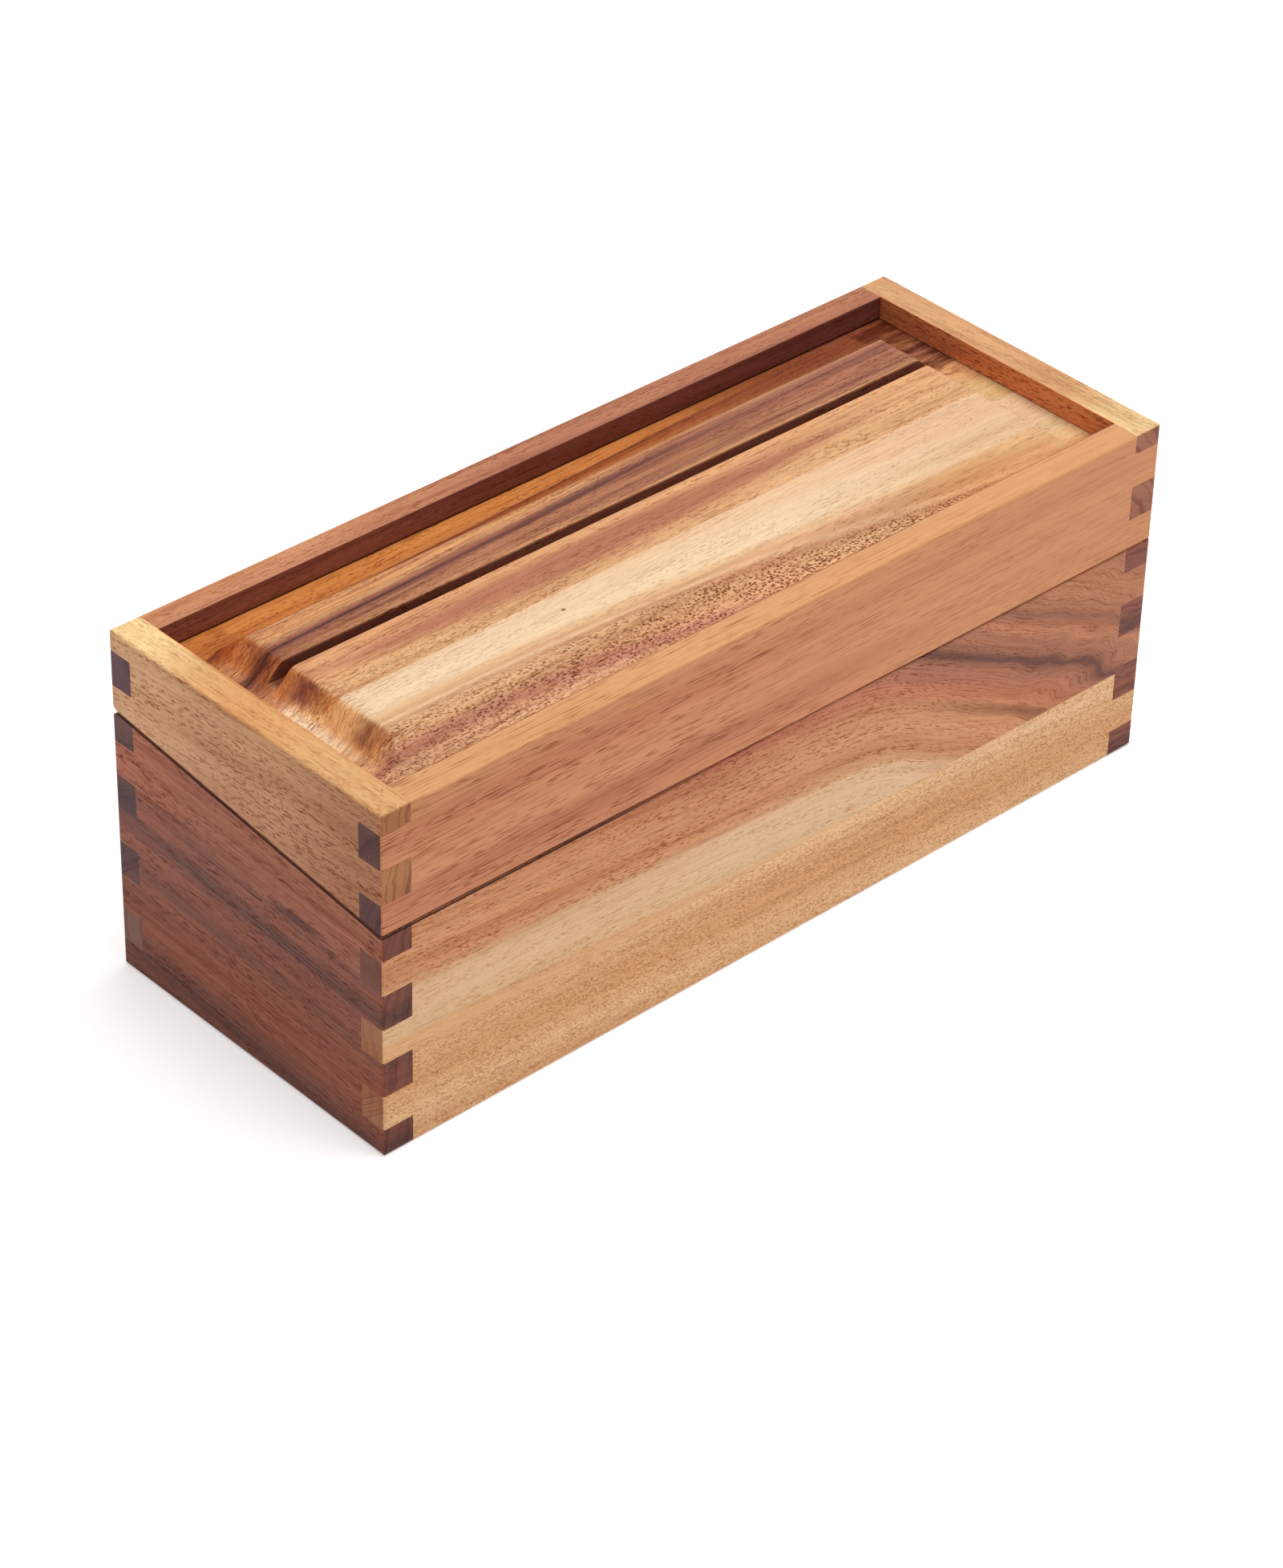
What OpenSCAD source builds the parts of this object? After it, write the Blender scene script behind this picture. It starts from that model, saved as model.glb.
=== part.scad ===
// Recipe box with a hinged lid and a card slot along the top.
// The box is glued up whole with finger joints, then sawn apart on a slant into a base and a lid,
// so one finger pattern runs through both. The lid panel floats in a groove in the lid's boards.
// Millimetres. Origin in the middle of the footprint, +X along the front, +Y to the back, +Z up.

/* [Box] */
// Overall length, along the front
box_l = 330; // [240:1:420]
// Overall width, front to back
box_w = 127; // [115:1:180]
// Overall height with the lid closed
box_h = 127; // [100:1:170]
// Radius of the eased outer edges
edge_r = 1; // [0.3:0.1:2]
// Radius of the edges that stand on the table
foot_r = 1.6; // [0.3:0.1:2.5]

/* [Boards] */
// Thickness of the front and back boards
long_t = 10; // [9:0.5:14]
// Thickness of the end boards
end_t = 11.5; // [8:0.5:16]

/* [Finger joints] */
// Width of one finger
finger_w = 12.7; // [8:0.1:20]
// Height of the lowest finger
first_finger = 10.5; // [4:0.5:16]

/* [Lid cut] */
// Height of the lid at its front face
lid_front_h = 44; // [34:1:60]
// Height of the lid at its back face
lid_back_h = 29; // [27:1:40]
// Gap between the lid and the base when closed
cut_gap = 0.4; // [0.2:0.1:1]
// Wood lost to the saw and the plane at the cut
saw_loss = 4.9; // [0:0.1:8]
// Radius of the cut's edges at the front and the ends
cut_edge_r = 0.5; // [0.2:0.1:1]
// Radius of the lid's lower back edge
lid_back_r = 4; // [3.5:0.1:5]
// Radius of the base's upper back edge
base_back_r = 3; // [3:0.1:5]

/* [Lid panel] */
// Depth of the panel's shelf below the top of the lid's boards
shelf_drop = 8.5; // [6:0.1:10]
// Depth of the raised field below the top of the lid's boards
field_drop = 1; // [0.2:0.1:2]
// From the lid's boards to the edge of the raised field
field_inset = 18.5; // [16:0.5:26]
// Angle of the slope up to the raised field
slope_angle = 44; // [36:1:60]
// Radius at the top of the slope
shoulder_r = 4.5; // [1:0.1:5]
// Radius at the foot of the slope
cove_r = 9; // [3:0.1:10]
// Thickness of the panel's tongue
panel_tongue_t = 6; // [4:0.1:7]

/* [Card slot] */
// Width of the slot
slot_w = 4.4; // [3:0.1:8]
// Depth of the slot below the raised field
slot_depth = 6; // [4:0.1:10]
// Width of the raised strip behind the slot
strip_w = 17.5; // [10:0.5:24]

/* [Bottom panel] */
// Thickness of the bottom panel
bottom_t = 5; // [3:0.5:8]
// Height of the bottom panel above the table
bottom_rise = 3; // [2:0.5:6]

/* [Panel grooves] */
// Depth of the grooves that hold the two panels
groove_d = 4; // [2:0.1:5]
// Room for the panels to swell, at the bottom of the grooves
panel_play = 0.8; // [0.3:0.1:1.5]
// Gap above the panels' tongues
tongue_gap = 0.3; // [0.1:0.1:0.6]

/* [Hinges] */
// Length of a hinge
hinge_l = 25; // [20:1:40]
// From the end of the box to the middle of a hinge
hinge_inset = 62; // [40:1:90]
// From the back face to the hinge axis
hinge_set = 1.8; // [1.8:0.05:1.9]
// Width of a leaf, measured from the hinge axis
leaf_w = 6.2; // [5.6:0.1:6.6]
// Thickness of a leaf
leaf_t = 1; // [0.8:0.1:1.2]
// Number of knuckles on a hinge
knuckles = 5; // [3:2:7]
// Outer radius of the knuckles
knuckle_r = 1.7; // [1.5:0.05:1.75]
// Radius of the hinge pin
pin_r = 0.85; // [0.6:0.05:0.95]
// Radius of the pin's two heads
pin_head_r = 1.3; // [1.1:0.05:1.45]
// Thickness of the pin's two heads
pin_head_t = 0.6; // [0.4:0.1:1]

/* [Screws] */
// Length of a hinge screw
screw_l = 8; // [5:0.5:10]
// Radius of a hinge screw's shank
screw_r = 0.75; // [0.6:0.05:0.9]
// Radius of a hinge screw's head
screw_head_r = 1.45; // [1.3:0.05:1.6]
// From the end of a leaf to a screw
screw_inset = 5; // [3.5:0.5:7]
// From the hinge axis to the row of screws
screw_set = 4; // [3.8:0.1:4.2]
// Width of the slot in a screw's head
drive_w = 0.4; // [0.3:0.05:0.6]
// Depth of the slot in a screw's head
drive_d = 0.35; // [0.2:0.05:0.5]

/* [Clearances] */
// Between the hinge pin and the knuckles' bores
pin_clear = 0.05; // [0.02:0.01:0.09]
// Between neighbouring knuckles
knuckle_clear = 0.15; // [0.1:0.05:0.3]
// Between the knuckles and the wood round them
barrel_clear = 0.3; // [0.2:0.05:0.4]
// Between a leaf's edges and its mortise
leaf_clear = 0.1; // [0.05:0.05:0.2]
// Between a screw and its hole
screw_clear = 0.05; // [0.02:0.01:0.1]

/* [Hidden] */
$fn = 64;
LEFT = -1;
RIGHT = 1;
FRONT = -1;
BACK = 1;
// Solids that are cut or trimmed reach this far past each other
overlap = 2;

// Inside faces of the boards
inner_x = box_l / 2 - end_t;
inner_y = box_w / 2 - long_t;

// The slanted cut
cut_front = box_h - lid_front_h;
cut_back = box_h - lid_back_h;
cut_angle = atan2(cut_back - cut_front, box_w);
half_gap = cut_gap / 2;
gap_rise = half_gap / cos(cut_angle);

// Bands of the finger pattern: even ones belong to the end boards, odd ones to the front and back
END_BANDS = 0;
LONG_BANDS = 1;
last_band = ceil((box_h + saw_loss - first_finger) / finger_w);

// Lid panel
panel_tongue = groove_d - panel_play;
shelf_z = box_h - shelf_drop;
field_z = box_h - field_drop;
panel_under_z = shelf_z - panel_tongue_t;
slope_run = (field_z - shelf_z) / tan(slope_angle);
slot_back_y = inner_y - field_inset - strip_w;

// Hinges
hinge_x = box_l / 2 - hinge_inset;
axis_y = box_w / 2 - hinge_set;
knuckle_pitch = hinge_l / knuckles;
bore_r = pin_r + pin_clear;
relief_r = knuckle_r + barrel_clear;
relief_l = hinge_l + 2 * (pin_head_t + barrel_clear);
screw_x = hinge_l / 2 - screw_inset;
// The base leaf has the outer knuckles
BASE_KNUCKLES = 0;
LID_KNUCKLES = 1;

function unit(v) = v / norm(v);
function cut_z(y) = cut_back + (y - box_w / 2) * tan(cut_angle);
function band_low(band) = band == 0 ? -overlap : first_finger + finger_w * (band - 1);
function band_high(band) = first_finger + finger_w * band;

// Plane shapes

// The piece between a corner and an arc of radius r that touches both its sides
module corner_wedge(before, corner, after, r) {
    u = unit(before - corner);
    v = unit(after - corner);
    middle = unit(u + v);
    half = acos(u * v) / 2;
    reach = r / tan(half);
    centre = corner + middle * r / sin(half);
    difference() {
        polygon([corner - middle * overlap, corner + u * reach, centre, corner + v * reach]);
        translate(centre) circle(r);
    }
}

// A polygon with arcs at its corners: a positive radius eases an outer corner,
// a negative one fills an inner corner, and 0 leaves it sharp
module eased_polygon(points, radii) {
    n = len(points);
    difference() {
        union() {
            polygon(points);
            for (i = [0 : n - 1])
                if (radii[i] < 0)
                    corner_wedge(points[(i + n - 1) % n], points[i], points[(i + 1) % n], -radii[i]);
        }
        for (i = [0 : n - 1])
            if (radii[i] > 0)
                corner_wedge(points[(i + n - 1) % n], points[i], points[(i + 1) % n], radii[i]);
    }
}

// A rectangle between two corners, with radii anticlockwise from the low corner
module eased_rectangle(low, high, radii) {
    eased_polygon([low, [high[0], low[1]], high, [low[0], high[1]]], radii);
}

// A board seen face on: its middle, and its fingers over the joints at both ends
module comb(length, joint_l, own_bands, drop) {
    translate([joint_l - length / 2, -overlap])
        square([length - 2 * joint_l, box_h + 2 * overlap]);
    for (band = [own_bands : 2 : last_band])
        translate([-length / 2, band_low(band) - drop])
            square([length, band_high(band) - band_low(band)]);
}

// The panel's section across one direction, between boards whose inside faces are at +-inner
module raised_section(inner) {
    edge = inner + panel_tongue;
    brow = inner - field_inset;
    foot = brow + slope_run;
    eased_polygon(
        [
            [-edge, panel_under_z], [edge, panel_under_z],
            [edge, shelf_z], [foot, shelf_z], [brow, field_z],
            [-brow, field_z], [-foot, shelf_z], [-edge, shelf_z]
        ],
        [0, 0, 0, -cove_r, shoulder_r, shoulder_r, -cove_r, 0]
    );
}

// Directions

// Extrudes a section drawn in Y and Z along X
module along_x(length) {
    rotate([90, 0, 90]) linear_extrude(length, center = true) children();
}

// Extrudes a section drawn in X and Z along Y
module along_y(length) {
    rotate([90, 0, 0]) linear_extrude(length, center = true) children();
}

// Places things on the slanted cut at depth y, with +Z square to the cut
module on_cut(y) {
    translate([0, y, cut_z(y)]) rotate([cut_angle, 0, 0]) children();
}

module at_hinge(side) {
    translate([side * hinge_x, 0, 0]) on_cut(axis_y) children();
}

module at_both_hinges() {
    for (side = [LEFT, RIGHT]) at_hinge(side) children();
}

// Outer forms of the two halves

module plan_form() {
    translate([0, 0, -overlap])
        linear_extrude(box_h + 2 * overlap)
            eased_rectangle([-box_l / 2, -box_w / 2], [box_l / 2, box_w / 2], [edge_r, edge_r, edge_r, edge_r]);
}

module base_form() {
    intersection() {
        plan_form();
        along_x(box_l + 2 * overlap)
            eased_polygon(
                [
                    [-box_w / 2, 0], [box_w / 2, 0],
                    [box_w / 2, cut_back - gap_rise], [-box_w / 2, cut_front - gap_rise]
                ],
                [foot_r, foot_r, base_back_r, cut_edge_r]
            );
        along_y(box_w + 2 * overlap)
            eased_rectangle([-box_l / 2, 0], [box_l / 2, box_h], [foot_r, foot_r, 0, 0]);
        on_cut(0) along_y(2 * box_w)
            eased_rectangle(
                [-box_l / 2, -2 * box_h], [box_l / 2, -half_gap],
                [0, 0, cut_edge_r, cut_edge_r]
            );
    }
}

module lid_form() {
    intersection() {
        plan_form();
        along_x(box_l + 2 * overlap)
            eased_polygon(
                [
                    [-box_w / 2, cut_front + gap_rise], [box_w / 2, cut_back + gap_rise],
                    [box_w / 2, box_h], [-box_w / 2, box_h]
                ],
                [cut_edge_r, lid_back_r, edge_r, edge_r]
            );
        along_y(box_w + 2 * overlap)
            eased_rectangle([-box_l / 2, 0], [box_l / 2, box_h], [0, 0, edge_r, edge_r]);
        on_cut(0) along_y(2 * box_w)
            eased_rectangle(
                [-box_l / 2, half_gap], [box_l / 2, 2 * box_h],
                [cut_edge_r, cut_edge_r, 0, 0]
            );
    }
}

// Boards before they are trimmed to the outer form

module long_board(side, drop) {
    translate([0, side * (box_w - long_t) / 2, 0])
        along_y(long_t) comb(box_l, end_t, LONG_BANDS, drop);
}

module end_board(side, drop) {
    translate([side * (box_l - end_t) / 2, 0, 0])
        along_x(end_t) comb(box_w, long_t, END_BANDS, drop);
}

// Grooves, cut as one block through the four boards

module panel_groove(low, high) {
    reach_x = inner_x + groove_d;
    reach_y = inner_y + groove_d;
    translate([-reach_x, -reach_y, low])
        cube([2 * reach_x, 2 * reach_y, high - low]);
}

module bottom_groove() {
    panel_groove(bottom_rise, bottom_rise + bottom_t + tongue_gap);
}

module lid_groove() {
    panel_groove(panel_under_z, shelf_z + tongue_gap);
}

// Hinge parts, drawn with the pin along X through the origin and the leaf above the cut

module along_pin(length) {
    rotate([0, 90, 0]) linear_extrude(length, center = true) children();
}

module at_knuckles(first) {
    for (k = [first : 2 : knuckles - 1])
        translate([(k + 0.5) * knuckle_pitch - hinge_l / 2, 0, 0]) children();
}

module at_screws() {
    for (side = [LEFT, RIGHT])
        translate([side * screw_x, -screw_set, half_gap]) children();
}

module hinge_leaf(own, other) {
    difference() {
        union() {
            translate([-hinge_l / 2, -leaf_w, half_gap]) cube([hinge_l, leaf_w, leaf_t]);
            at_knuckles(own) along_pin(knuckle_pitch) circle(knuckle_r);
        }
        at_knuckles(other) along_pin(knuckle_pitch + knuckle_clear) square(2 * relief_r, center = true);
        along_pin(hinge_l + 2 * overlap) circle(bore_r);
        at_screws() screw_hole();
    }
}

module hinge_mortise() {
    depth = half_gap + leaf_t;
    translate([-hinge_l / 2 - leaf_clear, -leaf_w - leaf_clear, -depth])
        cube([hinge_l + 2 * leaf_clear, leaf_w + leaf_clear, 2 * depth]);
    along_pin(relief_l) circle(relief_r);
    for (half = [0, 1]) mirror([0, 0, half]) at_screws() screw_hole();
}

module hinge_pin() {
    color("#a98a4a") {
        along_pin(hinge_l) circle(pin_r);
        for (half = [0, 1])
            mirror([half, 0, 0]) translate([hinge_l / 2, 0, 0]) rotate([0, 90, 0])
                cylinder(h = pin_head_t, r1 = pin_head_r, r2 = pin_r);
    }
}

// A countersunk screw with its head flush with the leaf, pointing up
module hinge_screw() {
    cone_h = screw_head_r - screw_r;
    tip_l = 2 * screw_r;
    difference() {
        union() {
            cylinder(h = cone_h, r1 = screw_head_r, r2 = screw_r);
            cylinder(h = screw_l - tip_l, r = screw_r);
            translate([0, 0, screw_l - tip_l]) cylinder(h = tip_l, r1 = screw_r, r2 = 0);
        }
        translate([0, 0, drive_d / 2])
            cube([3 * screw_head_r, drive_w, drive_d], center = true);
    }
}

module screw_hole() {
    head_r = screw_head_r + screw_clear;
    hole_r = screw_r + screw_clear;
    translate([0, 0, -screw_clear]) cylinder(h = head_r - hole_r + screw_clear, r1 = head_r + screw_clear, r2 = hole_r);
    cylinder(h = screw_l + screw_clear, r = hole_r);
}

// Base

module base_front() {
    color("#c99a62") difference() {
        intersection() {
            long_board(FRONT, 0);
            base_form();
        }
        bottom_groove();
    }
}

module base_back() {
    color("#b9824f") difference() {
        intersection() {
            long_board(BACK, 0);
            base_form();
        }
        bottom_groove();
        at_both_hinges() hinge_mortise();
    }
}

module base_end(side) {
    color("#8f5a3c") difference() {
        intersection() {
            end_board(side, 0);
            base_form();
        }
        bottom_groove();
    }
}

module base_bottom() {
    reach_x = inner_x + panel_tongue;
    reach_y = inner_y + panel_tongue;
    color("#b58a5c")
        translate([-reach_x, -reach_y, bottom_rise])
            cube([2 * reach_x, 2 * reach_y, bottom_t]);
}

// Lid

module lid_front() {
    color("#b5754a") difference() {
        intersection() {
            long_board(FRONT, saw_loss);
            lid_form();
        }
        lid_groove();
    }
}

module lid_back() {
    color("#b07a55") difference() {
        intersection() {
            long_board(BACK, saw_loss);
            lid_form();
        }
        lid_groove();
        at_both_hinges() hinge_mortise();
    }
}

module lid_end(side) {
    color("#c2945c") difference() {
        intersection() {
            end_board(side, saw_loss);
            lid_form();
        }
        lid_groove();
    }
}

// The raised panel: two crossing sections, so its slopes meet on mitres, with the card slot through it
module lid_panel() {
    color("#d0a06a") difference() {
        intersection() {
            along_x(2 * (inner_x + panel_tongue)) raised_section(inner_y);
            along_y(2 * (inner_y + panel_tongue)) raised_section(inner_x);
        }
        translate([-inner_x - groove_d, slot_back_y - slot_w, field_z - slot_depth])
            cube([2 * (inner_x + groove_d), slot_w, slot_depth + overlap]);
    }
}

// Hinges

module base_leaf() {
    color("#c2a45c") mirror([0, 0, 1]) hinge_leaf(BASE_KNUCKLES, LID_KNUCKLES);
}

module lid_leaf() {
    color("#c2a45c") hinge_leaf(LID_KNUCKLES, BASE_KNUCKLES);
}

module base_hinge_screws() {
    color("#b0914f") at_both_hinges() mirror([0, 0, 1]) at_screws() hinge_screw();
}

module lid_hinge_screws() {
    color("#b0914f") at_both_hinges() at_screws() hinge_screw();
}

base_front();
base_back();
base_end(LEFT);  // base_left_end
base_end(RIGHT);  // base_right_end
base_bottom();
lid_front();
lid_back();
lid_end(LEFT);  // lid_left_end
lid_end(RIGHT);  // lid_right_end
lid_panel();
at_hinge(LEFT) base_leaf();  // left_hinge_base_leaf
at_hinge(LEFT) lid_leaf();  // left_hinge_lid_leaf
at_hinge(LEFT) hinge_pin();  // left_hinge_pin
at_hinge(RIGHT) base_leaf();  // right_hinge_base_leaf
at_hinge(RIGHT) lid_leaf();  // right_hinge_lid_leaf
at_hinge(RIGHT) hinge_pin();  // right_hinge_pin
base_hinge_screws();
lid_hinge_screws();
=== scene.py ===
"""Looks of a hinged acacia recipe box: a wood for each kind of board, brass hinges, studio light."""
import math

import bpy
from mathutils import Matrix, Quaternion, Vector


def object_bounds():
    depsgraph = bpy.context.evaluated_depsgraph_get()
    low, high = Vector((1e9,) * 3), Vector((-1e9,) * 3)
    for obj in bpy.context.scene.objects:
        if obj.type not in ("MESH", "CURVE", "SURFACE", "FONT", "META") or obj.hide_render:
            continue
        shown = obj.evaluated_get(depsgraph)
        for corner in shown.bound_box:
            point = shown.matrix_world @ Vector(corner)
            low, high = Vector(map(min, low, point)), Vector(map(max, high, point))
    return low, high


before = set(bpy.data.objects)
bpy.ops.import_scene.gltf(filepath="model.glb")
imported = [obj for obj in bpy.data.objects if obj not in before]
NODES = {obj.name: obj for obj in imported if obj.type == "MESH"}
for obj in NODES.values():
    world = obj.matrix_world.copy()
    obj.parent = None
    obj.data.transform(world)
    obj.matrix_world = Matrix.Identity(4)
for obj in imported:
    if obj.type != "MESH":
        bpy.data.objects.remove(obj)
CAD_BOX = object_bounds()
MM = 1000.0

# Camera, from the corners of the box in the photograph
CAMERA_TARGET = Vector((-0.0132, -0.0116, 0.0391))
CAMERA_AZIMUTH = -43.47
CAMERA_ELEVATION = 35.62
CAMERA_DISTANCE = 1.5685
CAMERA_ROLL = 1.5
CAMERA_LENS = 112.6
CAMERA_SENSOR = 36.0
CAMERA_NEAR = 0.01

# Studio: one large lamp overhead, a pale sky and a white floor
LAMP_PLACE = Vector((0.50, -0.40, 2.40))
LAMP_AIM = Vector((0.0, 0.0, 0.06))
LAMP_SIZE = 2.2
LAMP_WATTS = 46.0
SKY = 0.42
FLOOR_REACH = 4.0
FLOOR_BOUNCE = 0.86
FLOOR_SEEN = 0.95
FLOOR_LIFT = 0.43

# The box, in millimetres: its half sizes, the slanted cut, the hollow inside the lid's rim,
# the raised panel with its slot and glue joint, and the glue joint of the base's front board
HALF_L = CAD_BOX[1][0] * MM
HALF_W = CAD_BOX[1][1] * MM
HEIGHT = CAD_BOX[1][2] * MM
CUT_FRONT = 83.0
CUT_BACK = 98.0
CUT_RISE = (CUT_BACK - CUT_FRONT) / (2 * HALF_W)
CUT_MID = (CUT_FRONT + CUT_BACK) / 2
INNER_L = 153.5
INNER_W = 53.5
RIM_Z = 118.0
FIELD_Z = 126.0
SLOT_MID = 15.3
SLOT_HALF = 2.2
SLOT_FLOOR = 120.0
PANEL_SEAM_Y = -9.0
FRONT_SEAM_Z = 34.0

# Wood finish: tints of the marks on every board, of the painted shade in the card slot and the painted
# shadow along the cut, of the wear and painted highlight on the edges, and of the oil film over them
FIBRE_DARK = (0.72, 0.56, 0.46)
FIBRE_PALE = (1.16, 1.16, 1.14)
THREAD_DARK = (0.58, 0.42, 0.34)
PORE_DARK = (0.44, 0.27, 0.18)
FLECK_DARK = (0.30, 0.15, 0.09)
PORE_WARM = (0.54, 0.30, 0.12)
FLECK_WARM = (0.50, 0.27, 0.08)
CLOUD_DARK = (0.84, 0.78, 0.74)
RING_DARK = (0.60, 0.50, 0.50)
KNOT_DARK = (0.25, 0.18, 0.15)
CUT_GAP_SHADOW = (0.10, 0.07, 0.06)
SLOT_SHADE = (0.38, 0.26, 0.31)
WORN_AND_HIGHLIT_PALE = (1.12, 1.10, 1.06)
OIL_TINT = (1.07, 1.03, 0.965)

# Wood surface: its gloss, and its relief with the depth in metres
SHEEN = 0.14
ROUGHNESS = 0.44
GRAIN_DEPTH = 0.00012
GRAIN_STRENGTH = 0.35

# Wood patterns: how far a seed shifts them along each axis, how far fibres shift from row to row,
# and the stretch and slant of each layer of pores
SEED_STEPS = (3.71, 5.23, 7.97)
STAGGER = 12.0
PORE_LAYERS = ((1.0, 1.4), (1.7, -1.8), (0.7, 1.9), (0.45, -1.2))

# Brass: the tint of its dull patches, and its brushing with the depth in metres
PATINA_DARK = (0.72, 0.62, 0.50)
BRUSH_DEPTH = 0.00004
BRUSH_STRENGTH = 0.2


def linear(code):
    """A colour written as #rrggbb, as the linear values that shaders take."""
    parts = [int(code[i:i + 2], 16) / 255 for i in (1, 3, 5)]
    return [c / 12.92 if c <= 0.04045 else ((c + 0.055) / 1.055) ** 2.4 for c in parts] + [1.0]


class Field:
    """A number that varies over a surface; arithmetic on it makes the math nodes."""

    def __init__(self, graph, socket):
        self.graph = graph
        self.socket = socket

    def __add__(self, other):
        return self.graph.math("ADD", self, other)

    def __sub__(self, other):
        return self.graph.math("SUBTRACT", self, other)

    def __rsub__(self, other):
        return self.graph.math("SUBTRACT", other, self)

    def __mul__(self, other):
        return self.graph.math("MULTIPLY", self, other)

    __radd__ = __add__
    __rmul__ = __mul__

    def __truediv__(self, other):
        return self.graph.math("DIVIDE", self, other)

    def __abs__(self):
        return self.graph.math("ABSOLUTE", self)

    def square(self):
        return self * self

    def root(self):
        return self.graph.math("SQRT", self)

    def low(self, other):
        return self.graph.math("MINIMUM", self, other)

    def high(self, other):
        return self.graph.math("MAXIMUM", self, other)

    def rise(self, start, end):
        """0 before start, 1 after end, smooth between."""
        return self.graph.smooth(self, start, end, 0.0, 1.0)

    def fall(self, start, end):
        """1 before start, 0 after end, smooth between."""
        return self.graph.smooth(self, start, end, 1.0, 0.0)

    def bend(self, start, soft):
        """0 well before start, then rising one for one, with a soft turn between."""
        past = self - start
        return (past + (past.square() + soft * soft).root()) * 0.5

    def near(self, centre, reach):
        """1 at centre, falling smoothly to 0 at reach on both sides."""
        return abs(self - centre).fall(0.0, reach)


class Graph:
    """One material's nodes, made by short calls. Lengths are in millimetres of the box's own frame."""

    def __init__(self, name):
        self.material = bpy.data.materials.new(name)
        self.material.use_nodes = True
        self.tree = self.material.node_tree
        self.tree.nodes.clear()
        self.where = self.node("ShaderNodeTexCoord")

    def node(self, kind, inputs=None, **settings):
        made = self.tree.nodes.new(kind)
        for key, value in settings.items():
            setattr(made, key, value)
        for key, value in (inputs or {}).items():
            self.feed(made.inputs[key], value)
        return made

    def feed(self, socket, value):
        if isinstance(value, Field):
            value = value.socket
        if isinstance(value, bpy.types.NodeSocket):
            self.tree.links.new(value, socket)
        else:
            socket.default_value = value

    def math(self, operation, a, b=0.0):
        made = self.node("ShaderNodeMath", {0: a, 1: b}, operation=operation)
        return Field(self, made.outputs[0])

    def smooth(self, value, start, end, before, after):
        inputs = {"Value": value, "From Min": start, "From Max": end, "To Min": before, "To Max": after}
        made = self.node("ShaderNodeMapRange", inputs, interpolation_type="SMOOTHSTEP")
        return Field(self, made.outputs["Result"])

    def split(self, vector):
        made = self.node("ShaderNodeSeparateXYZ", {0: vector})
        return [Field(self, out) for out in made.outputs]

    def place(self):
        """x, y and z in millimetres of the box's frame."""
        inputs = {0: self.where.outputs["Object"], "Scale": MM}
        scaled = self.node("ShaderNodeVectorMath", inputs, operation="SCALE")
        return self.split(scaled.outputs[0])

    def facing(self):
        """How far the surface faces along x, y and z, each 0 to 1."""
        return [abs(part) for part in self.split(self.where.outputs["Normal"])]

    def join(self, fields):
        return self.node("ShaderNodeCombineXYZ", dict(enumerate(fields))).outputs[0]

    def stretched(self, vector, lengths, seed):
        """The vector measured in cells of the given lengths, shifted by the seed."""
        scale = [1 / length for length in lengths]
        shift = [seed * step for step in SEED_STEPS]
        made = self.node("ShaderNodeVectorMath", {0: vector, 1: scale, 2: shift}, operation="MULTIPLY_ADD")
        return made.outputs[0]

    def noise(self, vector, lengths, seed, detail=2.0, rough=0.5):
        """Smooth noise around 0, about -1 to 1."""
        cells = self.stretched(vector, lengths, seed)
        inputs = {"Vector": cells, "Scale": 1.0, "Detail": detail, "Roughness": rough}
        made = self.node("ShaderNodeTexNoise", inputs)
        return (Field(self, made.outputs[0]) - 0.5) * 3.0

    def dashes(self, vector, lengths, seed, size, share):
        """Short marks, long along the pattern's first axis, on about the given share of its cells."""
        inputs = {"Vector": self.stretched(vector, lengths, seed), "Scale": 1.0}
        made = self.node("ShaderNodeTexVoronoi", inputs, feature="F1", voronoi_dimensions="2D")
        chance, depth, _ = self.split(made.outputs["Color"])
        mark = Field(self, made.outputs["Distance"]).fall(size * 0.3, size * 1.05)
        return mark * self.math("LESS_THAN", chance, share) * (depth * 0.6 + 0.4)

    def ramp(self, value, stops):
        """Colours along a length; stops are pairs of a place in mm and a colour code, lowest first."""
        first, last = stops[0][0], stops[-1][0]
        made = self.node("ShaderNodeValToRGB", {0: (value - first) / (last - first)})
        made.color_ramp.interpolation = "EASE"
        points = made.color_ramp.elements
        while len(points) < len(stops):
            points.new(0.5)
        for point, (place, code) in zip(points, stops):
            point.position = (place - first) / (last - first)
            point.color = linear(code)
        return made.outputs[0]

    def mix(self, share, a, b, blend="MIX"):
        made = self.node("ShaderNodeMix", data_type="RGBA", blend_type=blend, clamp_factor=True)
        self.feed(made.inputs["Factor"], share)
        self.feed(made.inputs[6], a)
        self.feed(made.inputs[7], b)
        return made.outputs[2]

    def stain(self, colour, share, tint):
        """The colour multiplied by a tint where share is 1."""
        return self.mix(share, colour, list(tint) + [1.0], "MULTIPLY")

    def paint(self, colour, share, code):
        """The colour turned into another one where share is 1."""
        return self.mix(share, colour, linear(code))

    def surface(self, shader):
        """Finish the material with its shader."""
        out = self.node("ShaderNodeOutputMaterial")
        self.feed(out.inputs["Surface"], shader.outputs[0])
        return self.material


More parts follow.
